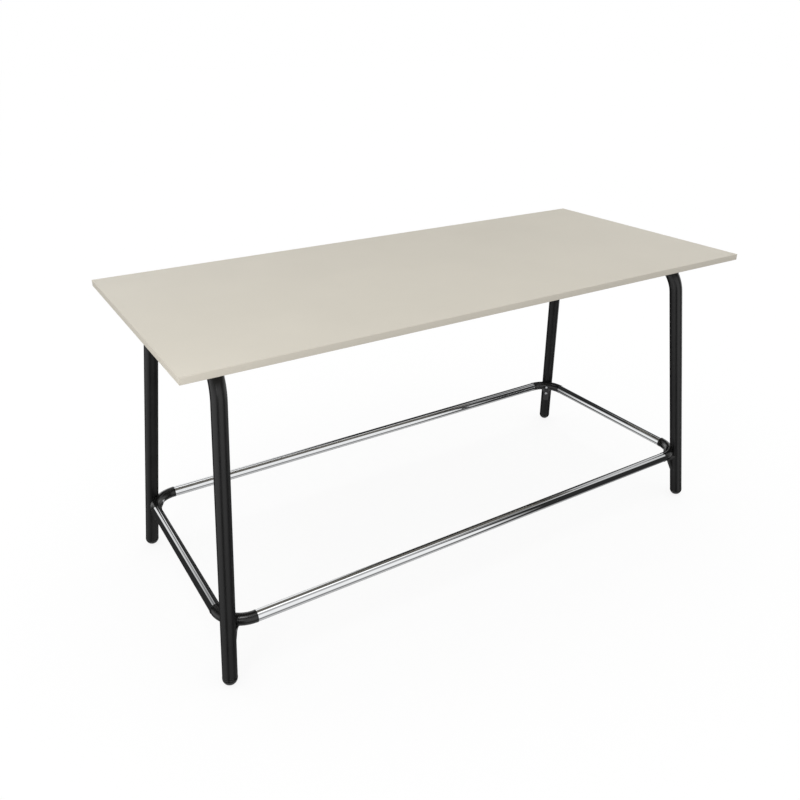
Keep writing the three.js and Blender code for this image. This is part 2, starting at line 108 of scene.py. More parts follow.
def tubeMesh(name, path, planeNormal, radius, bore, count, soften):
    bm = bmesh.new()
    (startPoint, startDir), (endPoint, endDir) = path[0], path[-1]
    stations = [(startPoint, startDir, radius - soften)]
    stations += [(startPoint + startDir * soften, startDir, radius)]
    stations += [(p, d, radius) for p, d in path[1:-1]]
    stations += [(endPoint - endDir * soften, endDir, radius)]
    stations += [(endPoint, endDir, radius - soften)]
    stations += [(p, d, bore) for p, d in reversed(path)]
    skinRings(bm, ringsAlong(bm, stations, planeNormal, count), loop=True)
    return meshFrom(name, bm)


def turnedMesh(name, profile, count):  # radius and height, turned round Z
    bm = bmesh.new()
    rings = [ringOf(bm, Vector((0, 0, z)), Vector((1, 0, 0)), Vector((0, 1, 0)), r, count)
             for r, z in profile if r > 0]
    skinRings(bm, rings)
    for ring, (_, z) in ((rings[0], profile[0]), (rings[-1], profile[-1])):
        pole = bm.verts.new((0, 0, z))
        for i in range(count):
            bm.faces.new((ring[i], ring[(i + 1) % count], pole))
    return meshFrom(name, bm)


def arc(centreX, centreY, radius, fromDeg, toDeg, steps):
    span = [math.radians(fromDeg + (toDeg - fromDeg) * i / steps) for i in range(steps + 1)]
    return [(centreX + radius * math.cos(a), centreY + radius * math.sin(a)) for a in span]


def circle(radius, count):
    return arc(0, 0, radius, 0, 360 - 360 / count, count - 1)


def prismMesh(name, outline, length):  # outline in X and Y, length along Z
    bm = bmesh.new()
    return closedMesh(name, bm, [[bm.verts.new((x, y, z)) for x, y in outline] for z in (0, length)])


def boxMesh(name, sizeX, sizeY, sizeZ):
    bm = bmesh.new()
    bmesh.ops.create_cube(bm, size=1, matrix=Matrix.Diagonal((sizeX, sizeY, sizeZ, 1)))
    return meshFrom(name, bm)


def holeRod(radius, length, count=24):
    return prismMesh("hole", circle(radius, count), length)


def workObject(mesh):
    obj = bpy.data.objects.new(mesh.name, mesh)
    scene.collection.objects.link(obj)
    return obj


def resultOf(obj):  # the mesh with its modifiers applied
    depsgraph = bpy.context.evaluated_depsgraph_get()
    mesh = bpy.data.meshes.new_from_object(obj.evaluated_get(depsgraph))
    bpy.data.objects.remove(obj)
    return mesh


def combined(mesh, other, operation="DIFFERENCE"):
    target, tool = workObject(mesh), workObject(other)
    change = target.modifiers.new("combine", "BOOLEAN")
    change.operation = operation
    change.solver = "EXACT"
    change.object = tool
    made = resultOf(target)
    bpy.data.objects.remove(tool)
    return made


def cleaned(mesh, sliver=0.000004):  # closes up the slivers that cutting leaves
    bm = bmesh.new()
    bm.from_mesh(mesh)
    bmesh.ops.dissolve_degenerate(bm, dist=sliver, edges=bm.edges)
    bmesh.ops.dissolve_verts(bm, verts=[v for v in bm.verts if len(v.link_edges) == 2])
    bm.to_mesh(mesh)
    bm.free()
    return mesh


def softened(mesh, width, segments):  # rounds every edge that turns by more than 30 degrees
    obj = workObject(mesh)
    bevel = obj.modifiers.new("soften", "BEVEL")
    bevel.width = width
    bevel.segments = segments
    bevel.limit_method = "ANGLE"
    bevel.angle_limit = math.radians(30)
    return resultOf(obj)


def moved(mesh, matrix):
    copy = mesh.copy()
    copy.transform(matrix)
    return copy


def joined(*meshes):
    bm = bmesh.new()
    for mesh in meshes:
        bm.from_mesh(mesh)
    return meshFrom(meshes[0].name, bm)


def addPiece(name, mesh, material, slotName, *nodes, sharp=40):
    mesh.name = name
    mesh.materials.clear()
    mesh.materials.append(material)
    mesh.shade_smooth()
    mesh.set_sharp_from_angle(angle=math.radians(sharp))
    obj = bpy.data.objects.new(name, mesh)
    scene.collection.objects.link(obj)
    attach(obj, "root")
    if nodes:
        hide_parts(*nodes)


def at(x, y, z):
    return Matrix.Translation((x, y, z))


def spin(degrees, axis="Z"):
    return Matrix.Rotation(math.radians(degrees), 4, axis)


# finishes

def newFinish(name):
    material = bpy.data.materials.new(name)
    material.use_nodes = True
    return material, material.node_tree, material.node_tree.nodes["Principled BSDF"]


def objectCoords(tree):
    return tree.nodes.new("ShaderNodeTexCoord").outputs["Object"]


def noiseOn(tree, coords, scale, detail, roughness=0.5):
    node = tree.nodes.new("ShaderNodeTexNoise")
    node.inputs["Scale"].default_value = scale
    node.inputs["Detail"].default_value = detail
    node.inputs["Roughness"].default_value = roughness
    tree.links.new(coords, node.inputs["Vector"])
    return node.outputs["Fac"]


def toneOn(tree, value, colour, tones, stops=(0.3, 0.7)):  # a darker and a lighter tone of one colour
    node = tree.nodes.new("ShaderNodeValToRGB")
    for element, position, tone in zip(node.color_ramp.elements, stops, tones):
        element.position = position
        element.color = (*(min(1.0, c * tone) for c in colour), 1)
    tree.links.new(value, node.inputs["Fac"])
    return node.outputs["Color"]


def rangeOn(tree, value, low, high, fromLow=0.3, fromHigh=0.7):
    node = tree.nodes.new("ShaderNodeMapRange")
    node.inputs["From Min"].default_value = fromLow
    node.inputs["From Max"].default_value = fromHigh
    node.inputs["To Min"].default_value = low
    node.inputs["To Max"].default_value = high
    tree.links.new(value, node.inputs["Value"])
    return node.outputs["Result"]


def mathOn(tree, operation, *values):
    node = tree.nodes.new("ShaderNodeMath")
    node.operation = operation
    for socket, value in zip(node.inputs, values):
        if isinstance(value, (int, float)):
            socket.default_value = value
        else:
            tree.links.new(value, socket)
    return node.outputs[0]


def mixOn(tree, share, first, second):
    node = tree.nodes.new("ShaderNodeMixShader")
    for value, socket in zip((share, first, second), node.inputs):
        tree.links.new(value, socket)
    return node.outputs[0]


def bumpOn(tree, shader, height, strength, distance):
    node = tree.nodes.new("ShaderNodeBump")
    node.inputs["Strength"].default_value = strength
    node.inputs["Distance"].default_value = distance
    tree.links.new(height, node.inputs["Height"])
    tree.links.new(node.outputs["Normal"], shader.inputs["Normal"])


laminateLook = {
    "colour": (0.61, 0.576, 0.502),
    "cloud": 0.012,  # slow change of tone over the board
    "cloudScale": 5,
    "grain": 0.018,  # fine fleck
    "grainScale": 620,
    "roughness": (0.56, 0.66),
    "bump": 0.00004,
    "bumpStrength": 0.4,
    "mirror": 0.08,  # a matt face shows next to nothing of the room
}


def laminateFinish(name, look):
    material, tree, shader = newFinish(name)
    coords = objectCoords(tree)
    cloud = noiseOn(tree, coords, look["cloudScale"], detail=3)
    grain = noiseOn(tree, coords, look["grainScale"], detail=4, roughness=0.65)
    spread = look["cloud"] + look["grain"]
    share = look["cloud"] / spread
    slow, fine = mathOn(tree, "MULTIPLY", cloud, share), mathOn(tree, "MULTIPLY", grain, 1 - share)
    tone = toneOn(tree, mathOn(tree, "ADD", slow, fine), look["colour"], (1 - spread, 1 + spread))
    tree.links.new(tone, shader.inputs["Base Color"])
    tree.links.new(rangeOn(tree, grain, *look["roughness"]), shader.inputs["Roughness"])
    bumpOn(tree, shader, grain, look["bumpStrength"], look["bump"])
    shader.inputs["Specular IOR Level"].default_value = look["mirror"]
    return material


edgingLook = dict(laminateLook, colour=(0.6, 0.563, 0.488), grain=0.014, roughness=(0.5, 0.6))

powderLook = {
    "colour": (0.0028, 0.0028, 0.003),
    "tones": (0.88, 1.14),
    "toneStops": (0.35, 0.65),
    "driftScale": 14,  # slow change of tone and gloss
    "peelScale": 520,  # orange peel of the sprayed coat
    "peel": 0.00003,
    "peelStrength": 0.5,
    "roughness": (0.3, 0.38),
}


def powderFinish(name, look):
    material, tree, shader = newFinish(name)
    coords = objectCoords(tree)
    peel = noiseOn(tree, coords, look["peelScale"], detail=2)
    drift = noiseOn(tree, coords, look["driftScale"], detail=3)
    tone = toneOn(tree, drift, look["colour"], look["tones"], look["toneStops"])
    tree.links.new(tone, shader.inputs["Base Color"])
    tree.links.new(rangeOn(tree, drift, *look["roughness"]), shader.inputs["Roughness"])
    bumpOn(tree, shader, peel, look["peelStrength"], look["peel"])
    return material


polymerLook = {
    "colour": (0.005, 0.005, 0.005),
    "tones": (0.9, 1.12),
    "driftScale": 40,  # slow change of gloss
    "grainScale": 1500,  # spark-eroded mould texture
    "bump": 0.00003,
    "bumpStrength": 0.35,
    "roughness": (0.2, 0.28),
}


def polymerFinish(name, look):
    material, tree, shader = newFinish(name)
    coords = objectCoords(tree)
    grain = noiseOn(tree, coords, look["grainScale"], detail=3, roughness=0.6)
    drift = noiseOn(tree, coords, look["driftScale"], detail=2)
    tree.links.new(toneOn(tree, grain, look["colour"], look["tones"]), shader.inputs["Base Color"])
    tree.links.new(rangeOn(tree, drift, *look["roughness"]), shader.inputs["Roughness"])
    bumpOn(tree, shader, grain, look["bumpStrength"], look["bump"])
    return material


chromeLook = {
    "colour": (0.80, 0.81, 0.82),
    "tones": (0.97, 1.02),
    "roughness": (0.02, 0.05),
    "hazeScale": 30,  # faint haze left by polishing
}
zincLook = dict(chromeLook, colour=(0.7, 0.71, 0.72), roughness=(0.22, 0.36), hazeScale=900)


def platedFinish(name, look):
    material, tree, shader = newFinish(name)
    haze = noiseOn(tree, objectCoords(tree), look["hazeScale"], detail=4, roughness=0.6)
    shader.inputs["Metallic"].default_value = 1.0
    tree.links.new(toneOn(tree, haze, look["colour"], look["tones"]), shader.inputs["Base Color"])
    tree.links.new(rangeOn(tree, haze, *look["roughness"]), shader.inputs["Roughness"])
    return material


laminate = laminateFinish("laminate", laminateLook)
edging = laminateFinish("edging", edgingLook)
powderCoat = powderFinish("powderCoat", powderLook)
polymer = polymerFinish("polymer", polymerLook)
chrome = platedFinish("chrome", chromeLook)
zinc = platedFinish("zinc", zincLook)
print("finishes ready")

# end frames, added once the elbows' screw holes are known
endFrame = {
    "wall": 0.002,
    "bendRadius": 0.105,
    "bendSteps": 20,
    "sides": 48,
    "lowEnd": 0.0228,  # height of the tube's cut end on the leg axis
    "soften": 0.0004,
    "holeRows": (-0.012, 0.004, 0.02, 0.04),  # rows of points round the screw holes, below the ring
}


def bendPath(corner, dirIn, dirOut, radius, steps):  # points and directions
    turn = dirIn.angle(dirOut)
    start = corner - dirIn * radius * math.tan(turn / 2)
    inward = (dirOut - dirIn * dirIn.dot(dirOut)).normalized()
    made = []
    for i in range(steps + 1):
        a = turn * i / steps
        point = start + dirIn * radius * math.sin(a) + inward * radius * (1 - math.cos(a))
        made.append((point, dirIn * math.cos(a) + inward * math.sin(a)))
    return made


def onLeg(sideX, sideY, z):
    return Vector((sideX * (stance["footX"] - splay * z), sideY * (stance["footY"] - splay * z), z))


def frameMesh(sideX):
    backCorner, frontCorner = (onLeg(sideX, sideY, crossHeight) for sideY in (1, -1))
    backFoot, frontFoot = (onLeg(sideX, sideY, endFrame["lowEnd"]) for sideY in (1, -1))
    backRing, frontRing = (onLeg(sideX, sideY, stance["ringHeight"]) for sideY in (1, -1))
    rise = (backCorner - backFoot).normalized()
    across = Vector((0, -1, 0))
    drop = (frontFoot - frontCorner).normalized()
    path = [(backFoot, rise)] + [(backRing - rise * d, rise) for d in reversed(endFrame["holeRows"])]
    path += bendPath(backCorner, rise, across, endFrame["bendRadius"], endFrame["bendSteps"])
    path += bendPath(frontCorner, across, drop, endFrame["bendRadius"], endFrame["bendSteps"])
    path += [(frontRing + drop * d, drop) for d in endFrame["holeRows"]] + [(frontFoot, drop)]
    planeNormal = rise.cross(across).normalized()
    return tubeMesh("frame", path, planeNormal, legRadius, legRadius - endFrame["wall"],
                    endFrame["sides"], endFrame["soften"])


# fixing plates, welded on the cross tubes
plate = {
    "length": 0.12,
    "width": 0.05,
    "thickness": 0.004,
    "cornerRadius": 0.008,
    "cornerSteps": 8,
    "placeY": 0.12,
    "screwSpacing": 0.088,
    "holeRadius": 0.0028,
    "soften": 0.0004,
    "softenSteps": 2,
}
weld = {
    "length": 0.044,
    "radius": 0.0029,
    "ripples": 17,
    "rippleSteps": 6,
    "swell": 0.14,  # share of the radius that comes and goes
    "bluntness": 14,  # how suddenly the bead ends
    "endShare": 0.02,  # what is left of it at the very end
    "sides": 14,
    "fromMiddle": 0.0112,  # of the plate
    "drop": 0.0026,  # below its lower face
}


def plateMesh():
    x, y, r = plate["length"] / 2, plate["width"] / 2, plate["cornerRadius"]
    outline = []
    for signX, signY, start in ((1, 1, 0), (-1, 1, 90), (-1, -1, 180), (1, -1, 270)):
        outline += arc(signX * (x - r), signY * (y - r), r, start, start + 90, plate["cornerSteps"])
    mesh = prismMesh("plate", outline, plate["thickness"])
    for along in (-0.5, 0.5):
        hole = holeRod(plate["holeRadius"], plate["thickness"] * 3)
        mesh = combined(mesh, moved(hole, at(along * plate["screwSpacing"], 0, -plate["thickness"])))
    return softened(mesh, plate["soften"], plate["softenSteps"])


def weldMesh():  # a rippled bead along Y
    bm = bmesh.new()
    steps = weld["ripples"] * weld["rippleSteps"]
    rings = []
    for i in range(steps + 1):
        t = i / steps
        swell = 1 - weld["swell"] + weld["swell"] * abs(math.sin(math.pi * t * weld["ripples"]))
        ends = math.sqrt(max(weld["endShare"], 1 - abs(2 * t - 1) ** weld["bluntness"]))
        centre = Vector((0, (t - 0.5) * weld["length"], 0))
        radius = weld["radius"] * swell * ends
        rings.append(ringOf(bm, centre, Vector((1, 0, 0)), up, radius, weld["sides"]))
    return closedMesh("weld", bm, rings)


flatPlate, bead = plateMesh(), weldMesh()
for side, sideX in sides.items():
    for face, sideY in faces.items():
        place = at(sideX * crossX, sideY * plate["placeY"], stance["tubeTop"])
        name = face + "_" + side
        mesh = moved(flatPlate, place)
        addPiece("fixing_plate_" + name, mesh, powderCoat, "black_coat", "top_plate_" + name)
        for end, shift in (("outer", sideX), ("inner", -sideX)):
            mesh = moved(bead, place @ at(shift * weld["fromMiddle"], 0, -weld["drop"]))
            addPiece("weld_bead_" + name + "_" + end, mesh, powderCoat, "black_coat", sharp=60)
print("fixing plates ready")

# stiffening rails, angle steel
rail = {
    "length": 1.43,
    "flange": 0.025,
    "web": 0.04,
    "thickness": 0.003,
    "rootRadius": 0.003,
    "rootSteps": 8,
    "outerFace": 0.232,
    "screwCount": 4,
    "screwSpacing": 0.44,
    "holeRadius": 0.0028,
    "soften": 0.0005,
    "softenSteps": 3,
}
railScrewY = rail["outerFace"] - rail["flange"] / 2 - rail["thickness"] / 2


def railScrewX(i):
    return (i - (rail["screwCount"] - 1) / 2) * rail["screwSpacing"]


def railMesh():  # drawn in Y and Z, along X
    t, web, flange, root = rail["thickness"], rail["web"], rail["flange"], rail["rootRadius"]
    inner = arc(-t - root, -t - root, root, 0, 90, rail["rootSteps"])
    outline = [(0, 0), (0, -web), (-t, -web)] + inner + [(-flange, -t), (-flange, 0)]
    mesh = moved(prismMesh("rail", outline, rail["length"]), at(0, 0, -rail["length"] / 2))
    mesh = moved(mesh, Matrix(((0, 0, 1, 0), (1, 0, 0, 0), (0, 1, 0, 0), (0, 0, 0, 1))))
    for i in range(rail["screwCount"]):
        hole = holeRod(rail["holeRadius"], t * 3)
        mesh = combined(mesh, moved(hole, at(railScrewX(i), railScrewY - rail["outerFace"], -2 * t)))
    return softened(mesh, rail["soften"], rail["softenSteps"])


angleBar = railMesh()
for face, sideY in faces.items():
    place = at(0, sideY * rail["outerFace"], stance["underside"]) @ spin(0 if sideY > 0 else 180)
    mesh = moved(angleBar, place)
    addPiece("stiffening_rail_" + face, mesh, powderCoat, "black_coat", "stiffener_rail_" + face)
print("stiffening rails ready")

# board and its edge bands
board = {
    "length": 1.8,
    "depth": 0.8,
    "top": 0.905,
    "thickness": 0.018,
    "band": 0.002,
    "bandRounding": 0.0012,
    "bandSteps": 5,
    "seam": 0.00025,  # fine groove where laminate meets band
    "seamSteps": 2,
    "pilotRadius": 0.0028,
    "pilotDepth": 0.0123,
}
panelLength, panelDepth = (board[size] - 2 * board["band"] for size in ("length", "depth"))
middleZ = board["top"] - board["thickness"] / 2


def panelMesh():
    mesh = boxMesh("panel", panelLength, panelDepth, board["thickness"])
    mesh = softened(mesh, board["seam"], board["seamSteps"])
    spots = [(sideX * crossX + along * plate["screwSpacing"] / 2, sideY * plate["placeY"])
             for sideX in sides.values() for sideY in faces.values() for along in (-1, 1)]
    spots += [(railScrewX(i), sideY * railScrewY)
              for sideY in faces.values() for i in range(rail["screwCount"])]
    length = board["pilotDepth"] * 2  # half of it below the board
    low = -board["thickness"] / 2 - length / 2
    pilots = [moved(holeRod(board["pilotRadius"], length), at(x, y, low)) for x, y in spots]
    return combined(mesh, joined(*pilots))


def bandMesh(length):  # outer face towards +X, rounded all round
    bm = bmesh.new()
    size = Matrix.Diagonal((board["band"], length, board["thickness"], 1))
    bmesh.ops.create_cube(bm, size=1, matrix=size)
    outer = [e for e in bm.edges if all(v.co.x > 0 for v in e.verts)]
    bmesh.ops.bevel(bm, geom=outer, offset=board["bandRounding"], segments=board["bandSteps"],
                    profile=0.5, affect="EDGES")
    return meshFrom("band", bm)


addPiece("tabletop_board", moved(panelMesh(), at(0, 0, middleZ)), laminate, "laminate", "top_panel")
bandPlaces = {  # length, size of the table across it, turn
    "right": (panelDepth, board["length"], 0),
    "back": (board["length"], board["depth"], 90),
    "left": (panelDepth, board["length"], 180),
    "front": (board["length"], board["depth"], 270),
}
for place, (length, span, degrees) in bandPlaces.items():
    mesh = moved(bandMesh(length), spin(degrees) @ at(span / 2 - board["band"] / 2, 0, 0))
    mesh = moved(mesh, at(0, 0, middleZ))
    addPiece("tabletop_band_" + place, mesh, edging, "edging", "edge_band_" + place)
print("tabletop ready")

# screws: head below zero, shank up along Z
woodScrew = {
    "shank": 0.0025,
    "head": 0.00475,
    "headHeight": 0.003,
    "bite": 0.012,
    "pitch": 0.0022,
    "thread": 0.0007,
}
machineScrew = {
    "shank": 0.003,
    "head": 0.0055,
    "headHeight": 0.0034,
    "bite": 0.008,  # past the leg's wall
    "pitch": 0.001,
    "thread": 0.0005,
    "headGap": 0.0003,
}
screwDetail = {  # lengths as shares of the shank's or the head's
    "tip": 1.2,
    "tipEnd": 0.12,
    "threadSides": 20,
    "turnSteps": 8,
    "headEdge": 0.22,
    "headFlat": 0.42,
    "headSteps": 9,
    "headSides": 40,
    "hexagon": 0.42,
    "hexagonDepth": 0.6,
    "crossArm": 0.52,
    "crossWidth": 0.13,
    "crossDepth": 0.55,
}
headTurns = {  # degrees, so that no row of heads lines up
    "plate": 23,
    "plateEnd": 37,
    "plateCorner": 50,
    "railScrew": 17,
    "rail": 31,
}


def threadedMesh(screw, length):
    bm = bmesh.new()
    count = screwDetail["threadSides"]
    rows = int(length / screw["pitch"] * screwDetail["turnSteps"])
    tip = screw["shank"] * screwDetail["tip"]
    rings = []
    for row in range(rows + 1):
        z = length * row / rows
        taper = min(1, max(screwDetail["tipEnd"], (length - z) / tip))
        ring = []
        for i in range(count):
            a = 2 * math.pi * i / count
            phase = (z / screw["pitch"] - i / count) % 1
            crest = 1 - abs(2 * phase - 1)
            radius = (screw["shank"] - screw["thread"] * (1 - crest)) * taper
            ring.append(bm.verts.new((radius * math.cos(a), radius * math.sin(a), z)))
        rings.append(ring)
    return closedMesh("thread", bm, rings)


def headMesh(screw, recess):
    r, h = screw["head"], screw["headHeight"]
    edge, flat = h * screwDetail["headEdge"], r * screwDetail["headFlat"]
    steps = screwDetail["headSteps"]
    profile = [(0, 0), (r, 0), (r, -edge)]
    for i in range(1, steps):
        a = math.radians(90 * i / steps)
        profile.append((flat + (r - flat) * math.cos(a), -edge - (h - edge) * math.sin(a)))
    profile += [(flat, -h), (0, -h)]
    return combined(turnedMesh("head", profile, screwDetail["headSides"]), recess)


def recessMesh(screw, outline, depth):  # reaches into the head from outside
    h = screw["headHeight"]
    return moved(prismMesh("recess", outline, h), at(0, 0, -h * (2 - depth)))


def hexRecess(screw):
    outline = circle(screw["head"] * screwDetail["hexagon"], 6)
    return recessMesh(screw, outline, screwDetail["hexagonDepth"])


def crossRecess(screw):
    a, w = screw["head"] * screwDetail["crossArm"], screw["head"] * screwDetail["crossWidth"]
    outline = [(a, -w), (a, w), (w, w), (w, a), (-w, a), (-w, w),
               (-a, w), (-a, -w), (-w, -w), (-w, -a), (w, -a), (w, -w)]
    return recessMesh(screw, outline, screwDetail["crossDepth"])


def screwMesh(screw, recess, length):
    return joined(headMesh(screw, recess), threadedMesh(screw, length))


plateScrew = screwMesh(woodScrew, crossRecess(woodScrew), plate["thickness"] + woodScrew["bite"])
railScrew = screwMesh(woodScrew, crossRecess(woodScrew), rail["thickness"] + woodScrew["bite"])
for side, sideX in sides.items():
    for face, sideY in faces.items():
        for i, (end, along) in enumerate((("outer", sideX), ("inner", -sideX))):
            x = sideX * crossX + along * plate["screwSpacing"] / 2
            turn = headTurns["plate"] + headTurns["plateEnd"] * i
            turn += headTurns["plateCorner"] * sideX * sideY
            mesh = moved(plateScrew, at(x, sideY * plate["placeY"], stance["tubeTop"]) @ spin(turn))
            name = "_".join((face, side, end))
            addPiece("plate_fixing_" + name, mesh, zinc, "zinc", "plate_screw_" + name, sharp=35)
for face, sideY in faces.items():
    for i in range(rail["screwCount"]):
        place = at(railScrewX(i), sideY * railScrewY, stance["underside"] - rail["thickness"])
        mesh = moved(railScrew, place @ spin(headTurns["railScrew"] * i + headTurns["rail"] * sideY))
        name = face + "_" + str(i + 1)
        addPiece("rail_fixing_" + name, mesh, zinc, "zinc", "rail_screw_" + name, sharp=35)
print("top screws ready")

# footrest tubes
footrest = {"radius": 0.016, "wall": 0.0015, "sides": 64, "soften": 0.0004, "gap": 0.0003}
elbow = {
    "radius": 0.0165,
    "bendRadius": 0.08,
    "bendSteps": 28,
    "sides": 64,
    "reach": 0.0816,  # ring corner to the end of the moulding
    "lipRadius": 0.017,
    "lipLength": 0.003,
    "lipRounding": 0.0005,
    "lipSteps": 4,
    "spigotLength": 0.03,
    "spigotChamfer": 0.002,
    "spigotGap": 0.0003,
    "voxel": 0.0007,
    "smoothing": 30,
    "smoothFactor": 0.5,
    "shrinkage": 0.0001,  # what the smoothing takes off the bend
    "saddleGap": 0.0003,
    "saddleSides": 120,
    "saddleTool": 0.3,
    "seatRadius": 0.0062,
    "seatSides": 48,
    "seatTool": 0.03,
    "holeRadius": 0.0033,
    "upperDrop": -0.0046,  # screws, below the ring along the leg
    "upperSunk": 0.002,
    "lowerDrop": 0.0307,
    "lowerSunk": 0.0024,
}


def straightTube(halfSpan):
    along = Vector((1, 0, 0))
    path = [(along * -halfSpan, along), (along * halfSpan, along)]
    return tubeMesh("footrest", path, up, footrest["radius"], footrest["radius"] - footrest["wall"],
                    footrest["sides"], footrest["soften"])


longTube = straightTube(ringX - elbow["reach"] - footrest["gap"])
shortTube = straightTube(ringY - elbow["reach"] - footrest["gap"])
for face, sideY in faces.items():
    mesh = moved(longTube, at(0, sideY * ringY, stance["ringHeight"]))
    addPiece("footrest_bar_" + face, mesh, chrome, "chrome", "footrest_tube_" + face)
for side, sideX in sides.items():
    mesh = moved(shortTube, at(sideX * ringX, 0, stance["ringHeight"]) @ spin(90))
    addPiece("footrest_bar_" + side, mesh, chrome, "chrome", "footrest_tube_" + side)
print("footrest tubes ready")

# moulded elbows, made once in the back right corner's frame
legInCorner = (at(-stance["ringOffset"], -stance["ringOffset"], 0)
               @ up.rotation_difference(legUp).to_matrix().to_4x4() @ spin(225))
legToBend = (elbow["bendRadius"] * (1 - math.sqrt(0.5)) - stance["ringOffset"]) * math.sqrt(2)
elbowFace = legToBend + elbow["radius"]
tongue = {  # drops are measured below the ring, along the leg
    "tip": 0.074,
    "root": 0.034,
    "top": 0.008,
    "tipThickness": 0.0008,
    "taper": 0.275,  # thickness gained on the way up
    "crown": 0.0157,  # radius of its round face, tighter than the leg's
    "tipRounding": 0.013,
    "sideFillet": 0.008,
    "widest": 0.98,  # share of the crown's half circle
    "back": 0.002,  # inside the leg, cut away with the saddle
    "rows": 44,
    "columns": 29,
    "crowding": 1.6,  # closer rows towards the tip
    "lastRow": 0.00002,  # short of the tip
}


def tongueThickness(drop):
    return tongue["tipThickness"] + tongue["taper"] * (tongue["tip"] - drop)


def tongueRow(drop):  # one section across the tongue, in the leg's frame
    flare = max(0, 1 - (drop - tongue["top"]) / (tongue["root"] - tongue["top"])) ** 2
    crown = tongue["crown"] + tongue["sideFillet"] * flare
    half = tongue["crown"] + 2 * tongue["sideFillet"] * math.sqrt(flare)
    r = tongue["tipRounding"]
    past = drop - (tongue["tip"] - r)
    if past > 0:
        half = tongue["crown"] - r + math.sqrt(max(0, r * r - past * past))
    half = min(half, crown * tongue["widest"])
    middle = legRadius + tongueThickness(drop) - crown
    across = [half * (2 * i / (tongue["columns"] - 1) - 1) for i in range(tongue["columns"])]
    return [Vector((middle + math.sqrt(crown * crown - y * y), y, -drop)) for y in across]


def tongueMesh():
    bm = bmesh.new()
    length = tongue["tip"] - tongue["top"] - tongue["lastRow"]
    fronts, backs = [], []
    for i in range(tongue["rows"]):
        t = i / (tongue["rows"] - 1)
        row = tongueRow(tongue["top"] + length * (1 - (1 - t) ** tongue["crowding"]))
        fronts.append([bm.verts.new(p) for p in row])
        backs.append([bm.verts.new((tongue["back"], p.y, p.z)) for p in row])
    for rows in (fronts, backs):
        for a, b in zip(rows, rows[1:]):
            skinStrip(bm, a, b)
    for end in (0, -1):
        skinStrip(bm, fronts[end], backs[end])
    for end in (0, -1):
        skinStrip(bm, [row[end] for row in fronts], [row[end] for row in backs])
    return meshFrom("tongue", bm)


def elbowEndMesh():  # lip and spigot, along -X
    lip, r, steps = elbow["lipRadius"], elbow["lipRounding"], elbow["lipSteps"]
    lipStart, reach = elbow["reach"] - elbow["lipLength"], elbow["reach"]
    spigot = footrest["radius"] - footrest["wall"] - elbow["spigotGap"]
    tipZ, chamfer = reach + elbow["spigotLength"], elbow["spigotChamfer"]
    profile = [(0, lipStart)]
    profile += arc(lip - r, lipStart + r, r, -90, 0, steps) + arc(lip - r, reach - r, r, 0, 90, steps)
    profile += [(spigot, reach), (spigot, tipZ - chamfer), (spigot - chamfer, tipZ), (0, tipZ)]
    return moved(turnedMesh("elbowEnd", profile, elbow["sides"]), spin(-90, "Y"))


screwSeats = {  # drop below the ring, and distance from the leg's axis
    "upper": (elbow["upperDrop"], elbowFace - elbow["upperSunk"]),
    "lower": (elbow["lowerDrop"], legRadius + tongueThickness(elbow["lowerDrop"]) - elbow["lowerSunk"]),
}


def alongScrew(mesh, drop, seat):  # in the leg's frame, from the seat towards the leg
    return moved(mesh, at(seat, 0, -drop) @ spin(-90, "Y"))


def bendMesh():
    bm = bmesh.new()
    end = elbow["reach"] - elbow["lipLength"] / 2
    dirIn, dirOut = Vector((0, 1, 0)), Vector((-1, 0, 0))
    path = [(Vector((0, -end, 0)), dirIn)]
    path += bendPath(Vector(), dirIn, dirOut, elbow["bendRadius"], elbow["bendSteps"])
    path += [(Vector((-end, 0, 0)), dirOut)]
    stations = [(p, d, elbow["radius"] + elbow["shrinkage"]) for p, d in path]
    return closedMesh("elbow", bm, ringsAlong(bm, stations, up, elbow["sides"]))


def elbowMesh():
    obj = workObject(joined(bendMesh(), moved(tongueMesh(), legInCorner)))
    remesh = obj.modifiers.new("remesh", "REMESH")
    remesh.mode = "VOXEL"
    remesh.voxel_size = elbow["voxel"]
    relax = obj.modifiers.new("relax", "SMOOTH")
    relax.factor = elbow["smoothFactor"]
    relax.iterations = elbow["smoothing"]
    mesh = resultOf(obj)
    saddle = circle(legRadius + elbow["saddleGap"], elbow["saddleSides"])
    legRod = prismMesh("saddle", saddle, elbow["saddleTool"])
    mesh = combined(mesh, moved(legRod, legInCorner @ at(0, 0, -elbow["saddleTool"] / 2)))
    wide, narrow, outside = elbow["seatRadius"], elbow["holeRadius"], -elbow["seatTool"]
    profile = [(0, outside), (wide, outside), (wide, 0)]
    profile += [(narrow, 0), (narrow, elbowFace), (0, elbowFace)]
    for drop, seat in screwSeats.values():
        tool = alongScrew(turnedMesh("seat", profile, elbow["seatSides"]), drop, seat)
        mesh = combined(mesh, moved(tool, legInCorner))
    for turn in (0, 90):
        mesh = combined(mesh, moved(elbowEndMesh(), spin(turn)), "UNION")
    return cleaned(mesh)


# domed glides
glide = {
    "radius": 0.0205,
    "flat": 0.001,
    "collar": 0.003,
    "chamfer": 0.0006,
    "chamferEase": 0.3,  # share of it that rounds the chamfer out
    "ribs": 3,
    "ribPitch": 0.009,
    "ribHeight": 0.0012,
    "plugGap": 0.0006,
    "domeSteps": 30,
    "sides": 64,
    "floorBlock": (0.3, 0.3, 0.1),  # cuts the dome level with the floor
}


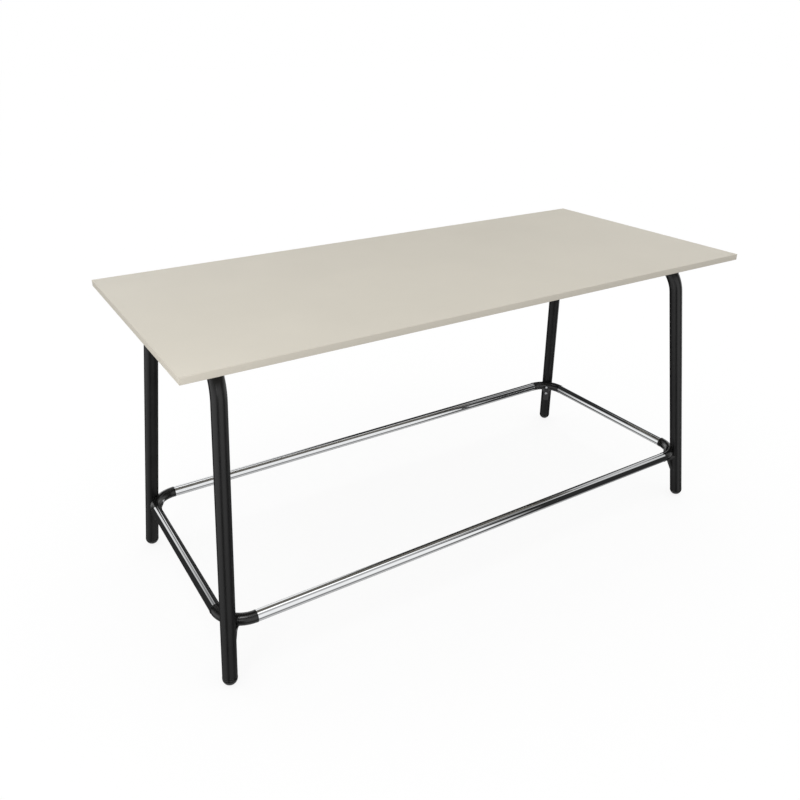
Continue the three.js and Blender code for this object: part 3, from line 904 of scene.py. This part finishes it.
def glideMesh():  # in the leg's frame, dome centre at zero
    r, collar, chamfer, steps = glide["radius"], glide["collar"], glide["chamfer"], glide["domeSteps"]
    ease, pitch = chamfer * glide["chamferEase"], glide["ribPitch"]
    rib = legRadius - endFrame["wall"] - glide["plugGap"]
    core = rib - glide["ribHeight"]
    profile = [(0, -r)] + arc(0, 0, r, 90 / steps - 90, 0, steps - 1)
    profile += [(r, collar - chamfer), (r - ease, collar - ease), (r - chamfer, collar)]
    for i in range(glide["ribs"]):
        base = collar + i * pitch
        profile += [(core, base), (rib, base + pitch / 4), (core, base + pitch / 2)]
    plugEnd = collar + glide["ribs"] * pitch
    profile += [(core, plugEnd), (0, plugEnd)]
    fromRing = (r - glide["flat"] - stance["ringHeight"]) / legUp.z
    mesh = moved(turnedMesh("glide", profile, glide["sides"]), legInCorner @ at(0, 0, fromRing))
    below = -stance["ringHeight"] - glide["floorBlock"][2] / 2
    return combined(mesh, moved(boxMesh("floorBlock", *glide["floorBlock"]), at(0, 0, below)))


elbowBody, glideBody = elbowMesh(), glideMesh()
print("elbow mesh:", len(elbowBody.polygons), "faces")
screwBodies = {}
for level, (drop, seat) in screwSeats.items():
    length = seat - legRadius + endFrame["wall"] + machineScrew["bite"]
    body = screwMesh(machineScrew, hexRecess(machineScrew), length)
    screwBodies[level] = moved(alongScrew(body, drop, seat + machineScrew["headGap"]), legInCorner)
legHoles = {1: [], -1: []}
for corner, (sideX, sideY, quarter) in corners.items():
    place = at(sideX * ringX, sideY * ringY, stance["ringHeight"]) @ spin(90 * quarter)
    for drop, _ in screwSeats.values():
        hole = alongScrew(holeRod(elbow["holeRadius"], legRadius), drop, legRadius + endFrame["wall"])
        legHoles[sideX].append(moved(hole, place @ legInCorner))
    mesh = moved(elbowBody, place)
    addPiece("footrest_elbow_" + corner, mesh, polymer, "black_polymer", "corner_elbow_" + corner)
    mesh = moved(glideBody, place)
    addPiece("foot_glide_" + corner, mesh, polymer, "black_polymer", "glide_" + corner)
    for level, body in screwBodies.items():
        name = level + "_" + corner
        mesh = moved(body, place)
        addPiece("elbow_fixing_" + name, mesh, zinc, "zinc", "elbow_screw_" + name, sharp=35)
print("corner pieces ready")
for side, sideX in sides.items():
    mesh = cleaned(combined(frameMesh(sideX), joined(*legHoles[sideX])))
    addPiece("end_frame_tube_" + side, mesh, powderCoat, "black_coat", "end_frame_" + side)
print("end frames ready")

# floor
floorLook = {"size": 60, "bounce": 0.32, "glow": 0.85}


def seenOn(tree):  # looked at straight, or through something clear
    ray = tree.nodes.new("ShaderNodeLightPath")
    return mathOn(tree, "MAXIMUM", ray.outputs["Is Camera Ray"], ray.outputs["Is Transmission Ray"])


def floorPlane():
    bm = bmesh.new()
    bmesh.ops.create_grid(bm, x_segments=1, y_segments=1, size=floorLook["size"] / 2)
    mesh = meshFrom("floor", bm)
    material, tree, _ = newFinish("floorPaper")
    tree.nodes.clear()
    paper = tree.nodes.new("ShaderNodeBsdfDiffuse")
    glow = tree.nodes.new("ShaderNodeEmission")
    clear = tree.nodes.new("ShaderNodeBsdfTransparent")
    seen = seenOn(tree)
    share = mathOn(tree, "MULTIPLY", seen, floorLook["glow"])
    tree.links.new(rangeOn(tree, seen, floorLook["bounce"], 1, 0, 1), paper.inputs["Color"])
    above = mixOn(tree, share, paper.outputs[0], glow.outputs[0])
    fromBelow = tree.nodes.new("ShaderNodeNewGeometry").outputs["Backfacing"]
    output = tree.nodes.new("ShaderNodeOutputMaterial")
    tree.links.new(mixOn(tree, fromBelow, above, clear.outputs[0]), output.inputs["Surface"])
    mesh.materials.append(material)
    obj = bpy.data.objects.new("floor", mesh)
    scene.collection.objects.link(obj)
    obj.visible_glossy = False  # polished tubes show the studio, not the paper


floorPlane()

# studio: what glossy surfaces see, and the plain light level for everything else
studio = {
    "level": 1.01,
    "dark": 0.027,  # the unlit room between the panels
    "panels": {  # bearing from the front, height, half width, half height, brightness, fade up and down
        "front": (4.5, 5.7, 29.4, 32.8, 1.06, 25),
        "frontHigh": (26, 47, 24, 4, 0.6, 3),
        "right": (90, 13.5, 34, 37, 0.68, 4),
        "rightGlow": (103, 5, 29, 25, 1.24, 25),
        "behind": (181, 12, 23, 26, 1.0, 14),
        "behindGlow": (181, 14, 10, 15, 3.3, 10),
        "left": (-91, -3, 40, 23, 1.16, 32),
        "overhead": (-56, 86, 170, 28, 1.58, 12),
        "key": (-42, 69, 22, 9, 7.0, 4),
        "fill": (-34, 22, 8, 10, 2.5, 16),
        "carpet": (-44, -73, 175, 27, 0.58, 17),
    },
    "edge": 4.4,  # soft upright edges of the panels, degrees like the rest
}


def studioWorld():
    world = bpy.data.worlds.new("studio")
    scene.world = world
    world.use_nodes = True
    world.cycles.sampling_method = "NONE"
    tree = world.node_tree
    tree.nodes.clear()
    parts = tree.nodes.new("ShaderNodeSeparateXYZ")
    tree.links.new(tree.nodes.new("ShaderNodeTexCoord").outputs["Generated"], parts.inputs[0])
    x, y, z = parts.outputs
    bearing = mathOn(tree, "ARCTAN2", x, mathOn(tree, "MULTIPLY", y, -1))
    height = mathOn(tree, "MULTIPLY", mathOn(tree, "ARCSINE", z), math.degrees(1))
    halfEdge = studio["edge"] / 2
    sky = studio["dark"]
    for centre, level, halfWidth, halfHeight, bright, fade in studio["panels"].values():
        off = mathOn(tree, "COSINE", mathOn(tree, "SUBTRACT", bearing, math.radians(centre)))
        away = mathOn(tree, "MULTIPLY", mathOn(tree, "ARCCOSINE", off), math.degrees(1))
        across = rangeOn(tree, away, 1, 0, halfWidth - halfEdge, halfWidth + halfEdge)
        rise = mathOn(tree, "ABSOLUTE", mathOn(tree, "SUBTRACT", height, level))
        along = rangeOn(tree, rise, 1, 0, halfHeight - fade / 2, halfHeight + fade / 2)
        glow = mathOn(tree, "MULTIPLY", mathOn(tree, "MULTIPLY", across, along), bright)
        sky = mathOn(tree, "MAXIMUM", sky, glow)
    plain, shine, white = (tree.nodes.new("ShaderNodeBackground") for _ in range(3))
    for light in (plain, shine, white):
        light.inputs["Color"].default_value = (1, 1, 1, 1)
    plain.inputs["Strength"].default_value = studio["level"]
    tree.links.new(sky, shine.inputs["Strength"])
    glossy = tree.nodes.new("ShaderNodeLightPath").outputs["Is Glossy Ray"]
    lit = mixOn(tree, glossy, plain.outputs[0], shine.outputs[0])
    output = tree.nodes.new("ShaderNodeOutputWorld")
    tree.links.new(mixOn(tree, seenOn(tree), lit, white.outputs[0]), output.inputs["Surface"])


studioWorld()

lamps = {  # place, aim, size, watts
    "sideLamp": ((-5.0, -3.2, 1.05), (0, 0, 0.9), 1.6, 96),
    "cornerLamp": ((-1.05, -0.62, 1.0), (-0.8, -0.35, 0.9), 0.2, 0.16),
}


def addLamps():
    for name, (place, aim, size, watts) in lamps.items():
        light = bpy.data.lights.new(name, "AREA")
        light.shape = "SQUARE"
        light.size = size
        light.energy = watts
        lamp = bpy.data.objects.new(name, light)
        lamp.location = place
        lamp.rotation_euler = (Vector(aim) - Vector(place)).to_track_quat("-Z", "Y").to_euler()
        lamp.visible_glossy = False
        lamp.visible_camera = False
        scene.collection.objects.link(lamp)


addLamps()

# camera, solved from the photograph's edges
view = {
    "place": (-1.2745, -1.86195, 1.5562),
    "bearing": -31.966,
    "height": 25.998,
    "focalPixels": 767.4,
    "imagePixels": 800,
    "sensorWidth": 36,
}


def addCamera():
    data = bpy.data.cameras.new("camera")
    data.sensor_fit = "HORIZONTAL"
    data.sensor_width = view["sensorWidth"]
    data.lens = view["focalPixels"] / view["imagePixels"] * view["sensorWidth"]
    obj = bpy.data.objects.new("camera", data)
    a, e = math.radians(view["bearing"]), math.radians(view["height"])
    back = Vector((math.sin(a) * math.cos(e), -math.cos(a) * math.cos(e), math.sin(e)))
    right = up.cross(back).normalized()
    axes = Matrix((right, back.cross(right), back)).transposed().to_4x4()
    obj.matrix_world = Matrix.Translation(view["place"]) @ axes
    scene.collection.objects.link(obj)
    scene.camera = obj


addCamera()
scene.view_settings.view_transform = "Standard"
print("studio and camera ready")

bpy.context.view_layer.update()
